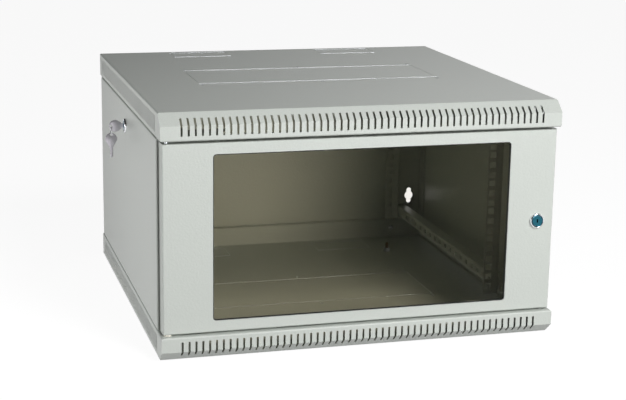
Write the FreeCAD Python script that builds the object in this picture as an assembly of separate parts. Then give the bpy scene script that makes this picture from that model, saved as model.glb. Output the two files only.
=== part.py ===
import FreeCAD, Part
import math
import os

# Wall mount network cabinet, 6 rack units, 600 mm wide and deep.
# Frame: X to the right, Y to the wall, Z up. The origin is the middle of the base,
# half way between the lip of the covers and the wall face.

V = FreeCAD.Vector

# ---- whole cabinet -------------------------------------------------------------
width = 600.0
depth = 600.0
height = 361.0

# ---- top and bottom covers (one stamping, mirrored) -------------------------------
cover_sheet = 1.2
cover_height = 38.4            # depth of the tray
cover_bend = 2.4               # outer bend radius
lip_run = 19.6                 # how far the front lip stands out past the flat plate
lip_fall = 16.4                # height over which the lip slopes
front_return = 40.0            # inward edges round the mouth of the tray
side_return = 20.0
rear_return = 16.0
side_hem = 12.0                # upstand that the side locks catch behind
gusset_width = 75.0            # plate in each front corner of the mouth
gusset_depth = 37.0
gusset_slope = 15.0

# ---- ventilation slots --------------------------------------------------------------
slot_width = 3.0
slot_pitch = 10.0
slot_low = 7.4                 # slot ends, measured from the flat plate
slot_high = 31.2
front_slot_margin = 28.0       # least distance from the outer slots to the edge
side_slot_margin = 22.0

# ---- knock-outs in the covers ---------------------------------------------------------
cut_width = 0.8
tie_width = 3.0                # uncut bridge that holds a blank
fan_blank_x = 388.0
fan_blank_y = 129.0
fan_blank_tie = 97.0           # ties on the long sides, from the middle
roof_blank_middle = 15.0
floor_blank_middle = 2.0
fan_hole_pitch_x = 191.5
fan_hole_pitch_y = 150.0
fan_hole_radius = 2.2
cable_blank_x = 98.0
cable_blank_y = 49.0
cable_blank_offset = 131.0     # middle of a cable blank from the middle of the cabinet
cable_blank_edge = 17.0        # from the blank to the rear edge of the cover

# ---- rear panel --------------------------------------------------------------------------
rear_sheet = 1.5
rear_side_gap = 2.0            # the panel is this much narrower than the covers, each side
rear_side_return = 25.0
rear_margin = 1.0              # the panel stops short of the base and the roof
rear_bend = 2.5
keyhole_inset = 22.0           # from the side of the rear panel
keyhole_height = 79.5          # from the base, and from the roof
keyhole_radius = 8.0
keyhole_lobe = 4.5
keyhole_length = 29.0
rear_screw_inset = 58.3        # from the side of the cabinet

# ---- side panels ------------------------------------------------------------------------------
panel_sheet = 1.0
panel_front_inset = 35.6       # from the lip of the covers
panel_rear_inset = 14.0        # from the wall face
panel_gap = 1.0                # between a side panel and the covers
panel_return = 12.0
panel_bend = 2.5
panel_edge_clear = 4.0         # returns stop this far from the post and the rear panel
tab_length = 40.0
tab_depth = 8.4
tab_spacing = 340.0
tab_slot_width = 6.5
tab_slot_end_clear = 1.0
tab_slot_inner_clear = 3.5
tilt_axis_inset = 0.5

# ---- front posts --------------------------------------------------------------------------------
post_sheet = 1.5
post_inset = 3.0               # side of the post behind the face of the side panel
post_gap = 0.3                 # between the front edge of a panel and the post
post_face = 35.0
post_side = 30.0
post_bend = 2.5
post_tab = 14.5
post_tab_length = 25.0
lock_notch_depth = 21.0
lock_notch_half = 13.0

# ---- 19 inch rack rails ----------------------------------------------------------------------------
rack_unit = 44.45
rack_units = 6
rack_hole_x = 232.5            # half of 465 mm
rack_hole_side = 9.5
rack_hole_first = 6.35
rack_hole_step = 15.875
rack_clear_half = 225.0        # half of the 450 mm opening
rail_sheet = 2.0
rail_face = 25.0
rail_side = 17.0
rail_bend = 3.0
rail_end_gap = 2.6             # from a rail to the covers
front_rail_inset = 94.6        # from the lip of the covers
rear_rail_inset = 20.4         # from the wall face
rail_bolt_offset = 11.35

# ---- depth rails --------------------------------------------------------------------------------------
depth_rail_sheet = 1.5
depth_rail_height = 18.0
depth_rail_flange = 18.0
depth_rail_bend = 2.5
depth_rail_lift = 6.6          # above the return of the cover
depth_rail_tab = 34.0
depth_slot_length = 9.0
depth_slot_height = 7.0
depth_slot_pitch = 25.0
depth_slot_margin = 12.0       # from the front foot to the first slot
depth_slot_rear_margin = 60.0  # least distance from the last slot to the rear foot

# ---- door ------------------------------------------------------------------------------------------------
door_side_gap = 3.5            # the door is this much narrower than the covers, each side
door_recess = 7.0              # from the lip of the covers to the door's face
door_sheet = 1.5
door_return = 25.0
door_bend = 2.0
door_gap_bottom = 2.6
door_gap_top = 4.2
window_stile = 72.2            # width of the strips beside the window
window_frame = 16.8            # height of the strips over and under the window
window_corner = 5.0
seal_thickness = 2.0
seal_overlap = 12.0
seal_show = 1.5                # width of the seal that shows inside the window
seal_corner = 3.0              # cut off the outer corners of the seal and the glass
glass_thickness = 4.0
retainer_sheet = 1.2
retainer_bend = 2.4
retainer_grip = 10.3
retainer_foot = 14.0
retainer_end_clear = 4.0
retainer_step_clear = 1.3
retainer_stud_radius = 2.0
retainer_stud_length = 8.5
retainer_stud_inset = 7.8
retainer_stud_ends = 22.0
retainer_nut_flat = 7.0
retainer_nut_height = 3.2

# ---- hinge ---------------------------------------------------------------------------------------------------
hinge_inset = 7.0              # axis from the side of the door
hinge_setback = 6.0            # axis from the face of the door
hinge_pin_radius = 2.5
hinge_clear = 0.08
hinge_plate = 2.0
hinge_plate_width = 17.0
hinge_plate_from_edge = 22.0
hinge_reach = 4.5              # pin stands this far past the return of the cover
pin_collar_radius = 4.0
pin_collar_height = 2.0
pin_collar_drop = 0.3
spring_wall = 0.9
spring_end_clear = 0.2
pin_tail = 5.0
pin_lever_radius = 2.0
pin_lever_length = 13.0
hinge_washer_radius = 6.0
body_gap = 0.3                 # between pieces of different bodies

# ---- cam locks --------------------------------------------------------------------------------------------------
lock_inset = 26.0              # door lock from the edge of the door
side_lock_drop = 33.6          # side lock below the top edge of its panel
lock_collar_radius = 11.2
lock_collar_height = 3.5
lock_collar_chamfer = 1.0
lock_barrel_radius = 9.6
lock_barrel_flat = 8.9
lock_hole_clear = 0.15
plug_radius = 7.8
plug_clear = 0.05
plug_square = 7.0
plug_proud = 0.2               # the plug stands out of its collar by this
cam_sheet = 2.0
cam_width = 14.0
cam_gap = 0.6                  # between a cam and what it catches behind
cam_screw_radius = 1.9
cam_screw_head = 5.2
cam_screw_head_height = 2.4
cam_screw_depth = 6.0
door_cam_length = 28.0
side_cam_length = 44.0
lock_nut_flat = 24.0
lock_nut_height = 3.5

# ---- keys -----------------------------------------------------------------------------------------------------------
key_sheet = 1.8
key_bow_radius = 9.2
key_blade_width = 5.0
key_length = 29.8              # from the middle of the bow to the tip
key_bow_distance = 17.0        # from the panel to the middle of the bow
key_shoulder = 11.0
key_shoulder_width = 7.4
key_neck = 13.0                # the blade proper starts here
key_hole_radius = 1.9
key_hole_out = 6.2             # hole from the middle of the bow
key_slot_clear = 0.15
ring_wire = 0.6
ring_radius = 6.1

# ---- fasteners ----------------------------------------------------------------------------------------------------------
m6_radius = 3.0
m6_hole = 3.3
m6_nut_flat = 10.0
m6_nut_height = 5.0
m6_head_radius = 5.0
m6_head_height = 3.6
m5_radius = 2.5
m5_hole = 2.75
m5_head_radius = 4.7
m5_head_height = 3.2
m5_nut_flat = 8.0
m5_nut_height = 4.0
thread_clear = 0.02
small_sides = 8                # small fasteners and their holes are eight-sided
screw_tail = 3.0               # thread past the last sheet

# ---- earth stud ----------------------------------------------------------------------------------------------------------
earth_inset_x = 97.0           # from the side of the cabinet
earth_inset_y = 97.4           # from the wall face
earth_length = 15.8
earth_washer_radius = 6.2
earth_washer_height = 1.2

# ---- places worked out from the sizes above ---------------------------------------------------------------------------------
half_width = width / 2
front = -depth / 2
wall = depth / 2
middle_height = height / 2
plate_front = front + lip_run
cover_rear = wall - rear_sheet
floor_top = cover_height                     # top of the bottom cover's returns
roof_low = height - cover_height             # underside of the top cover's returns
mouth_half = half_width - side_return
mouth_front = front + front_return
mouth_rear = cover_rear - rear_return
blank_rear = cover_rear - cable_blank_edge
panel_front = front + panel_front_inset
panel_rear = wall - panel_rear_inset
panel_low = floor_top + panel_gap
panel_high = roof_low - panel_gap
panel_middle = (panel_front + panel_rear) / 2
post_outer = half_width - post_inset
post_front = panel_front + panel_sheet + post_gap
post_back_face = post_front + post_sheet
rail_low = floor_top + rail_end_gap
rail_high = roof_low - rail_end_gap
rail_outer = rack_clear_half + rail_face
front_rail_y = front + front_rail_inset
rear_rail_y = wall - rear_rail_inset
depth_rail_low = floor_top + depth_rail_lift
depth_rail_axis = depth_rail_low + depth_rail_height / 2
rear_inner = wall - rear_sheet
rear_half_width = half_width - rear_side_gap
keyhole_x = rear_half_width - keyhole_inset
rear_screw_x = half_width - rear_screw_inset
earth_x = half_width - earth_inset_x
earth_y = wall - earth_inset_y
door_half_width = half_width - door_side_gap
door_front = front + door_recess
window_half_width = door_half_width - window_stile
lock_x = door_half_width - lock_inset
door_low = floor_top + door_gap_bottom
door_high = roof_low - door_gap_top
door_middle = (door_low + door_high) / 2
door_inner = door_front + door_sheet
door_back = door_front + door_return
window_low = door_low + window_frame
window_high = door_high - window_frame
glass_front = door_inner + seal_thickness
glass_back = glass_front + glass_thickness
hinge_x = -(door_half_width - hinge_inset)
hinge_y = door_front + hinge_setback
side_lock_z = panel_high - side_lock_drop
door_barrel = post_back_face + cam_gap - body_gap - door_front
side_barrel = side_return + cam_gap - body_gap


# ---- shape helpers ---------------------------------------------------------------------------------------------------------------

def box(x0, x1, y0, y1, z0, z1):
    low = V(min(x0, x1), min(y0, y1), min(z0, z1))
    return Part.makeBox(abs(x1 - x0), abs(y1 - y0), abs(z1 - z0), low)


def rod(start, direction, radius, length):
    return Part.makeCylinder(radius, length, start, direction)


def prism(start, direction, radius, length, sides=small_sides):
    """Many-sided bar whose flats lie on a circle of the radius."""
    along = V(*direction)
    side = V(0, 0, 1) if abs(along.z) < 0.5 else V(1, 0, 0)
    other = along.cross(side)
    corner = radius / math.cos(math.pi / sides)
    ring = []
    for index in range(sides + 1):
        angle = 2 * math.pi * (index + 0.5) / sides
        ring.append(start + side * (corner * math.cos(angle)) + other * (corner * math.sin(angle)))
    return Part.Face(Part.makePolygon(ring)).extrude(along * length)


def fuse(shapes):
    return shapes[0].multiFuse(shapes[1:]).removeSplitter()


def cut(shape, tools):
    return shape.cut(tools)


def group(shapes):
    return Part.makeCompound(shapes)


def mirror_x(shape):
    return shape.mirror(V(0, 0, 0), V(1, 0, 0))


def mirror_z(shape):
    return shape.mirror(V(0, 0, middle_height), V(0, 0, 1))


def plane_point(plane, u, v, offset):
    if plane == "yz":
        return V(offset, u, v)
    if plane == "xz":
        return V(u, offset, v)
    return V(u, v, offset)


def sheet_face(points, radii, plane, offset):
    """Closed outline with a round at each point whose radius is over 0.

    A radius under 0 gives a straight corner between the same two ends.
    """
    count = len(points)
    stops = []
    for index in range(count):
        here = V(points[index][0], points[index][1], 0)
        before = V(points[index - 1][0], points[index - 1][1], 0)
        after = V(points[(index + 1) % count][0], points[(index + 1) % count][1], 0)
        radius = radii[index]
        if radius == 0:
            stops.append((here, None, here))
            continue
        back = (before - here).normalize()
        ahead = (after - here).normalize()
        half_angle = back.getAngle(ahead) / 2
        reach = abs(radius) / math.tan(half_angle)
        if radius < 0:
            stops.append((here + back * reach, None, here + ahead * reach))
            continue
        bisector = (back + ahead).normalize()
        crown = here + bisector * (radius / math.sin(half_angle) - radius)
        stops.append((here + back * reach, crown, here + ahead * reach))
    edges = []
    for index in range(count):
        start, crown, end = stops[index]
        following = stops[(index + 1) % count][0]
        place = [plane_point(plane, p.x, p.y, offset) for p in (start, end, following)]
        if crown is not None:
            top = plane_point(plane, crown.x, crown.y, offset)
            edges.append(Part.Arc(place[0], top, place[1]).toShape())
        elif (end - start).Length > 1e-6:
            edges.append(Part.LineSegment(place[0], place[1]).toShape())
        if (following - end).Length > 1e-6:
            edges.append(Part.LineSegment(place[1], place[2]).toShape())
    return Part.Face(Part.Wire(edges))


def extrude(points, radii, plane, start, end):
    face = sheet_face(points, radii, plane, start)
    return face.extrude(plane_point(plane, 0, 0, end - start))


def offset_line(points, distance):
    """The open path moved to its left by a distance, corners kept sharp."""
    moved = []
    for index in range(len(points)):
        here = V(points[index][0], points[index][1], 0)
        sides = []
        if index > 0:
            step = here - V(points[index - 1][0], points[index - 1][1], 0)
            sides.append(V(-step.y, step.x, 0).normalize())
        if index < len(points) - 1:
            step = V(points[index + 1][0], points[index + 1][1], 0) - here
            sides.append(V(-step.y, step.x, 0).normalize())
        if len(sides) == 1:
            shift = sides[0] * distance
        else:
            both = sides[0] + sides[1]
            shift = both * (2 * distance / both.dot(both))
        moved.append((here.x + shift.x, here.y + shift.y))
    return moved


def folded(points, sheet, bend, plane, start, end):
    """A folded strip: the path is one face of the sheet, which lies to its left."""
    other = offset_line(points, sheet)
    near = [0] * len(points)
    far = [0] * len(points)
    for index in range(1, len(points) - 1):
        ax = points[index][0] - points[index - 1][0]
        ay = points[index][1] - points[index - 1][1]
        bx = points[index + 1][0] - points[index][0]
        by = points[index + 1][1] - points[index][1]
        turns_left = ax * by - ay * bx > 0
        near[index] = bend if turns_left else sheet - bend
        far[index] = sheet - bend if turns_left else bend
    outline = list(points) + other[::-1]
    return extrude(outline, near + far[::-1], plane, start, end)


def rounded_slab(half_x, low, high, corner, y0, y1):
    outline = [(-half_x, low), (half_x, low), (half_x, high), (-half_x, high)]
    return extrude(outline, [corner] * 4, "xz", y0, y1)


def hex_nut(centre, direction, across_flats, thickness, hole, sides=small_sides):
    """Nut with its near face at the centre point, standing along the direction."""
    body = prism(centre, direction, across_flats / 2, thickness, 6)
    return body.cut(prism(centre, direction, hole, thickness, sides))


def cap_screw(seat, direction, radius, head_radius, head_height, length):
    """Screw whose head rests on the seat point; the shank runs along the direction."""
    along = V(*direction)
    head = prism(seat - along * head_height, direction, head_radius, head_height)
    return fuse([head, prism(seat, direction, radius, length)])


# ---- covers -------------------------------------------------------------------------------------------------------------------------

def cover_block(inset, bend):
    """The tray's outline drawn in by an inset: a section along Y crossed with one along X."""
    outline = [(plate_front, 0), (cover_rear, 0), (cover_rear, cover_height),
               (front, cover_height), (front, lip_fall)]
    # the first point comes again at both ends, so that every corner is moved squarely
    loop = [outline[-1]] + outline + [outline[0]]
    inner = offset_line(loop, inset)[1:-1] if inset else outline
    half = half_width - inset
    low = inset
    high = cover_height - inset
    lengthwise = extrude(inner, [bend] * 4 + [0], "yz", -half, half)
    crosswise = extrude([(-half, low), (half, low), (half, high), (-half, high)], [bend] * 4, "xz",
                        front - 1, wall + 1)
    return lengthwise.common(crosswise)


def front_slot_tool(x):
    """One slot that runs from the sloping part of the lip down its upright part."""
    slope = math.hypot(lip_run, lip_fall)
    share = slot_low / lip_fall
    start = (plate_front - lip_run * share, lip_fall * share)
    outward = (-lip_fall / slope, -lip_run / slope)
    reach = 3 * cover_sheet
    corner = (front, lip_fall)
    inner_corner = (front + reach, lip_fall + reach * (slope - lip_fall) / lip_run)
    outline = [(start[0] - outward[0] * reach, start[1] - outward[1] * reach),
               (start[0] + outward[0] * reach, start[1] + outward[1] * reach),
               (corner[0] - 2 * reach, corner[1] - 2 * reach * (1 - share)),
               (corner[0] - 2 * reach, slot_high),
               (corner[0] + reach, slot_high), inner_corner]
    return extrude(outline, [0] * 6, "yz", x - slot_width / 2, x + slot_width / 2)


def blank_cuts(centre_x, centre_y, size_x, size_y, tie_from_middle):
    """The cut line round a knock-out blank: four corners, and the middle if ties leave one."""
    half_x = size_x / 2
    half_y = size_y / 2
    half_cut = cut_width / 2
    half_tie = tie_width / 2
    corner = extrude([(tie_from_middle + half_tie, half_y - half_cut),
                      (half_x - half_cut, half_y - half_cut), (half_x - half_cut, half_tie),
                      (half_x + half_cut, half_tie), (half_x + half_cut, half_y + half_cut),
                      (tie_from_middle + half_tie, half_y + half_cut)],
                     [0] * 6, "xy", -cover_sheet, 2 * cover_sheet)
    right = [corner, corner.mirror(V(0, 0, 0), V(0, 1, 0))]
    tools = right + [mirror_x(tool) for tool in right]
    if tie_from_middle > 0:
        run = tie_from_middle - half_tie
        for y in (-half_y, half_y):
            tools.append(box(-run, run, y - half_cut, y + half_cut, -cover_sheet, 2 * cover_sheet))
    for tool in tools:
        tool.translate(V(centre_x, centre_y, 0))
    return tools


def slot_places(start, end, margin):
    """Middles of the slots that fit between the two ends."""
    count = int((end - start - 2 * margin) / slot_pitch) + 1
    first = (start + end) / 2 - slot_pitch * (count - 1) / 2
    return [first + index * slot_pitch for index in range(count)]


def tab_places():
    return [panel_middle - tab_spacing / 2, panel_middle + tab_spacing / 2]


def make_cover(blank_middle, earth_hole):
    shell = cut(cover_block(0, cover_bend), [cover_block(cover_sheet, cover_sheet - cover_bend)])
    under_return = cover_height - cover_sheet
    mouth = extrude([(-mouth_half, mouth_rear), (-mouth_half, mouth_front + gusset_depth),
                     (gusset_slope - mouth_half + gusset_width, mouth_front + gusset_depth),
                     (gusset_width - mouth_half, mouth_front),
                     (mouth_half - gusset_width, mouth_front),
                     (mouth_half - gusset_width - gusset_slope, mouth_front + gusset_depth),
                     (mouth_half, mouth_front + gusset_depth), (mouth_half, mouth_rear)],
                    [0] * 8, "xy", under_return - cover_sheet, cover_height + cover_sheet)
    shell = cut(shell, [mouth])
    hem = box(mouth_half, mouth_half + cover_sheet, mouth_front, mouth_rear,
              cover_height - side_hem, under_return)
    shell = fuse([shell, hem, mirror_x(hem)])

    tools = [front_slot_tool(x) for x in slot_places(-half_width, half_width, front_slot_margin)]
    for y in slot_places(plate_front, cover_rear, side_slot_margin):
        for side in (-1, 1):
            tools.append(box(side * (half_width - 2 * cover_sheet), side * (half_width + cover_sheet),
                             y - slot_width / 2, y + slot_width / 2, slot_low, slot_high))
    tools += blank_cuts(0, blank_middle, fan_blank_x, fan_blank_y, fan_blank_tie)
    for side in (-1, 1):
        tools += blank_cuts(side * cable_blank_offset, blank_rear - cable_blank_y / 2,
                            cable_blank_x, cable_blank_y, 0)
    for side in (-1, 1):
        y = blank_middle + side * fan_hole_pitch_y / 2
        for x in (-fan_hole_pitch_x, fan_hole_pitch_x):
            tools.append(rod(V(x, y, -cover_sheet), V(0, 0, 1), fan_hole_radius, 3 * cover_sheet))
        tools.append(prism(V(0, y, -cover_sheet), V(0, 0, 1), fan_hole_radius, 3 * cover_sheet))
    low = under_return - cover_sheet
    tools.append(rod(V(hinge_x, hinge_y, low), V(0, 0, 1), hinge_pin_radius + hinge_clear,
                     3 * cover_sheet))
    tools.append(prism(V(-hinge_x, hinge_y, low), V(0, 0, 1), hinge_pin_radius + hinge_clear,
                       3 * cover_sheet))
    for side in (-1, 1):
        tools.append(prism(V(side * post_screw_x(), post_screw_y(), low), V(0, 0, 1),
                           m5_radius + thread_clear, 3 * cover_sheet))
        tools.append(prism(V(side * rear_screw_x, cover_rear - 2 * cover_sheet, cover_height / 2),
                           V(0, 1, 0), m5_hole, 3 * cover_sheet))
        slot_inner = half_width - panel_return - tab_slot_inner_clear
        for y in tab_places():
            half_slot = tab_length / 2 + tab_slot_end_clear
            tools.append(box(side * slot_inner, side * (slot_inner + tab_slot_width),
                             y - half_slot, y + half_slot, low, cover_height + cover_sheet))
    if earth_hole:
        tools.append(prism(V(earth_x, earth_y, -cover_sheet), V(0, 0, 1), m6_radius + thread_clear,
                           3 * cover_sheet))
    return cut(shell, tools)


# ---- rear panel --------------------------------------------------------------------------------------------------------------------------

def keyhole(x, z):
    """Round hole with a slot above and below it, so the cabinet hangs either way up."""
    long_half = keyhole_length / 2
    slot = extrude([(x - keyhole_lobe, z - long_half), (x + keyhole_lobe, z - long_half),
                    (x + keyhole_lobe, z + long_half), (x - keyhole_lobe, z + long_half)],
                   [-keyhole_lobe * 0.6] * 4, "xz", rear_inner - rear_sheet, wall + rear_sheet)
    hole = rod(V(x, rear_inner - rear_sheet, z), V(0, 1, 0), keyhole_radius, 3 * rear_sheet)
    return fuse([slot, hole])


def make_rear_panel():
    middle = folded([(rear_half_width, wall - rear_side_return), (rear_half_width, wall),
                     (-rear_half_width, wall), (-rear_half_width, wall - rear_side_return)],
                    rear_sheet, rear_bend, "xy", panel_low, panel_high)
    flat_half = rear_half_width - rear_bend
    plate = box(-flat_half, flat_half, rear_inner, wall, rear_margin, height - rear_margin)
    panel = fuse([middle, plate])
    tools = []
    for side in (-1, 1):
        for z in (keyhole_height, height - keyhole_height):
            tools.append(keyhole(side * keyhole_x, z))
        for z in (cover_height / 2, height - cover_height / 2):
            tools.append(prism(V(side * rear_screw_x, rear_inner - rear_sheet, z), V(0, 1, 0),
                               m5_radius + thread_clear, 3 * rear_sheet))
    return cut(panel, tools)


def make_rear_screws():
    seat = cover_rear - cover_sheet
    screws = []
    for x in (-rear_screw_x, rear_screw_x):
        for z in (cover_height / 2, height - cover_height / 2):
            screws.append(cap_screw(V(x, seat, z), (0, 1, 0), m5_radius, m5_head_radius,
                                    m5_head_height, cover_sheet + rear_sheet))
    return group(screws)


# ---- front posts --------------------------------------------------------------------------------------------------------------------------

def post_screw_x():
    return post_outer - post_sheet - post_tab / 2


def post_screw_y():
    return post_back_face + post_tab_length / 2


def make_right_post():
    inner = post_outer - post_face
    post = folded([(inner, post_front), (post_outer, post_front), (post_outer, post_front + post_side)],
                  post_sheet, post_bend, "xy", floor_top, roof_low)
    tab_inner = post_outer - post_sheet - post_tab
    tab_rear = post_back_face + post_tab_length
    tabs = [box(tab_inner, post_outer - post_sheet, post_back_face, tab_rear, z, z + post_sheet)
            for z in (floor_top, roof_low - post_sheet)]
    post = fuse([post] + tabs)
    tools = [box(inner - 1, inner + lock_notch_depth, post_front - 1, post_back_face + 1,
                 door_middle - lock_notch_half, door_middle + lock_notch_half)]
    for z in (floor_top, roof_low - post_sheet):
        tools.append(prism(V(post_screw_x(), post_screw_y(), z - 1), V(0, 0, 1), m5_hole, post_sheet + 2))
    for z in (depth_rail_axis, height - depth_rail_axis):
        tools.append(prism(V(depth_screw_x(), post_front - 1, z), V(0, 1, 0), m5_hole, post_sheet + 2))
    return cut(post, tools)


def make_post_screws():
    length = post_sheet + cover_sheet + screw_tail
    lower = [cap_screw(V(side * post_screw_x(), post_screw_y(), floor_top + post_sheet), (0, 0, -1),
                       m5_radius, m5_head_radius, m5_head_height, length) for side in (-1, 1)]
    return group(lower + [mirror_z(screw) for screw in lower])


# ---- rack rails -----------------------------------------------------------------------------------------------------------------------------

def make_right_rack_rail(face_y):
    """Angle with the square holes in its face and its side against the depth rails."""
    rail = folded([(rack_clear_half, face_y), (rail_outer, face_y), (rail_outer, face_y + rail_side)],
                  rail_sheet, rail_bend, "xy", rail_low, rail_high)
    half_hole = rack_hole_side / 2
    first = middle_height - rack_units * rack_unit / 2
    tools = []
    for unit in range(rack_units):
        for row in range(3):
            z = first + unit * rack_unit + rack_hole_first + row * rack_hole_step
            tools.append(box(rack_hole_x - half_hole, rack_hole_x + half_hole, face_y - 1,
                             face_y + rail_sheet + 1, z - half_hole, z + half_hole))
    for z in (depth_rail_axis, height - depth_rail_axis):
        tools.append(prism(V(rail_outer - rail_sheet - 1, face_y + rail_bolt_offset, z), V(1, 0, 0),
                           m6_hole, rail_sheet + 2))
    return cut(rail, tools)


def rail_bolt_places():
    return [(face_y + rail_bolt_offset, z) for face_y in (front_rail_y, rear_rail_y)
            for z in (depth_rail_axis, height - depth_rail_axis)]


def make_rail_bolts():
    length = rail_sheet + depth_rail_sheet + m6_nut_height + screw_tail
    right = [cap_screw(V(rail_outer - rail_sheet, y, z), (1, 0, 0), m6_radius, m6_head_radius,
                       m6_head_height, length) for y, z in rail_bolt_places()]
    return group(right + [mirror_x(bolt) for bolt in right])


def make_rail_nuts():
    right = [hex_nut(V(rail_outer + depth_rail_sheet, y, z), (1, 0, 0), m6_nut_flat,
                     m6_nut_height, m6_radius + thread_clear) for y, z in rail_bolt_places()]
    return group(right + [mirror_x(nut) for nut in right])


# ---- depth rails ---------------------------------------------------------------------------------------------------------------------------------

def depth_screw_x():
    return post_outer - post_face + (depth_rail_tab - (post_outer - post_face - rail_outer)) / 2


def make_lower_right_depth_rail():
    """Channel with a row of slots, and a foot at each end."""
    low = depth_rail_low
    high = low + depth_rail_height
    start = post_back_face + depth_rail_sheet
    end = rear_inner - depth_rail_sheet
    outer = rail_outer + depth_rail_flange
    channel = folded([(outer, high), (rail_outer, high), (rail_outer, low), (outer, low)],
                     depth_rail_sheet, depth_rail_bend, "xz", start, end)
    feet = [box(rail_outer, rail_outer + depth_rail_tab, y, y + depth_rail_sheet, low, high)
            for y in (post_back_face, end)]
    rail = fuse([channel] + feet)
    half_height = depth_slot_height / 2
    tools = []
    first = start + depth_slot_margin + depth_slot_length / 2
    count = int((end - depth_slot_rear_margin - first) / depth_slot_pitch) + 1
    for index in range(count):
        y = first + index * depth_slot_pitch
        tools.append(box(rail_outer - 1, rail_outer + depth_rail_sheet + 1,
                         y - depth_slot_length / 2, y + depth_slot_length / 2,
                         depth_rail_axis - half_height, depth_rail_axis + half_height))
    tools.append(prism(V(rail_outer - 1, rear_rail_y + rail_bolt_offset, depth_rail_axis), V(1, 0, 0),
                       m6_hole, depth_rail_sheet + 2))
    tools.append(prism(V(depth_screw_x(), post_back_face - 1, depth_rail_axis), V(0, 1, 0),
                       m5_hole, depth_rail_sheet + 2))
    return cut(rail, tools)


def depth_screw_places():
    return [V(depth_screw_x(), post_front, z) for z in (depth_rail_axis, height - depth_rail_axis)]


def make_depth_rail_screws():
    length = post_sheet + depth_rail_sheet + m5_nut_height + screw_tail
    right = [cap_screw(place, (0, 1, 0), m5_radius, m5_head_radius, m5_head_height, length)
             for place in depth_screw_places()]
    return group(right + [mirror_x(screw) for screw in right])


def make_depth_rail_nuts():
    behind = V(0, post_sheet + depth_rail_sheet, 0)
    right = [hex_nut(place + behind, (0, 1, 0), m5_nut_flat, m5_nut_height, m5_radius + thread_clear)
             for place in depth_screw_places()]
    return group(right + [mirror_x(nut) for nut in right])


# ---- earth stud ------------------------------------------------------------------------------------------------------------------------------------

def make_earth_stud():
    return prism(V(earth_x, earth_y, 0), V(0, 0, 1), m6_radius, cover_sheet + earth_length)


def make_earth_washer():
    foot = V(earth_x, earth_y, cover_sheet)
    disc = prism(foot, V(0, 0, 1), earth_washer_radius, earth_washer_height, 2 * small_sides)
    return cut(disc, [prism(foot, V(0, 0, 1), m6_radius + thread_clear, earth_washer_height)])


def make_earth_nut():
    return hex_nut(V(earth_x, earth_y, cover_sheet + earth_washer_height), (0, 0, 1), m6_nut_flat,
                   m6_nut_height, m6_radius + thread_clear)


# ---- door --------------------------------------------------------------------------------------------------------------------------------------------

def retainer_stud_places():
    low = window_low + retainer_stud_ends
    high = window_high - retainer_stud_ends
    x = retainer_web_x() + retainer_sheet + retainer_stud_inset
    return [V(side * x, door_inner, z) for side in (-1, 1) for z in (low, (low + high) / 2, high)]


def retainer_web_x():
    return window_half_width + seal_overlap + retainer_step_clear


def door_block(inset, bend):
    """The door's outline drawn in by an inset: a section across it crossed with one up it."""
    half = door_half_width - inset
    low = door_low + inset
    high = door_high - inset
    near = door_front + inset
    far = door_back + inset
    across = extrude([(-half, far), (-half, near), (half, near), (half, far)], [0, bend, bend, 0],
                     "xy", low, high)
    upright = extrude([(far, low), (near, low), (near, high), (far, high)], [0, bend, bend, 0],
                      "yz", -half, half)
    return across.common(upright)


def make_door_frame():
    """Shallow pan with a window, and the welded studs for the glass retainers."""
    pan = cut(door_block(0, door_bend), [door_block(door_sheet, door_sheet - door_bend)])
    window = rounded_slab(window_half_width, window_low, window_high, window_corner,
                          door_front - 1, door_inner + 1)
    tools = [window, placed(lock_hole_tool(door_sheet), door_lock_placement())]
    for z in (door_low, door_high - door_sheet):
        tools.append(rod(V(hinge_x, hinge_y, z - 1), V(0, 0, 1), hinge_pin_radius + hinge_clear,
                         door_sheet + 2))
    studs = [prism(place, V(0, 1, 0), retainer_stud_radius, retainer_stud_length)
             for place in retainer_stud_places()]
    return fuse([cut(pan, tools)] + studs)


def make_glass_seal():
    half = window_half_width + seal_overlap
    seal = rounded_slab(half, window_low - seal_overlap, window_high + seal_overlap, -seal_corner,
                        door_inner, glass_front)
    hole = rounded_slab(window_half_width - seal_show, window_low + seal_show,
                        window_high - seal_show, window_corner - seal_show,
                        door_inner - 1, glass_front + 1)
    return cut(seal, [hole])


def make_door_glass():
    return rounded_slab(window_half_width + seal_overlap, window_low - seal_overlap,
                        window_high + seal_overlap, -seal_corner, glass_front, glass_back)


def make_right_retainer():
    """Folded strip that steps from the door sheet over the edge of the glass."""
    grip_end = window_half_width + seal_overlap - retainer_grip
    web = retainer_web_x()
    foot_end = web + retainer_sheet + retainer_foot
    low = window_low + retainer_end_clear
    high = window_high - retainer_end_clear
    strip = folded([(grip_end, glass_back), (web, glass_back), (web, door_inner), (foot_end, door_inner)],
                   retainer_sheet, retainer_bend, "xy", low, high)
    tools = [prism(place, V(0, 1, 0), retainer_stud_radius + thread_clear, 3 * retainer_sheet)
             for place in retainer_stud_places()]
    return cut(strip, tools)


def make_retainer_nuts():
    return group([hex_nut(place + V(0, retainer_sheet, 0), (0, 1, 0), retainer_nut_flat,
                          retainer_nut_height, retainer_stud_radius + thread_clear)
                  for place in retainer_stud_places()])


# ---- hinge -----------------------------------------------------------------------------------------------------------------------------------------------

def hinge_plate_z(top):
    if top:
        return door_high - door_sheet - hinge_plate_from_edge
    return door_low + door_sheet + hinge_plate_from_edge


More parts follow.
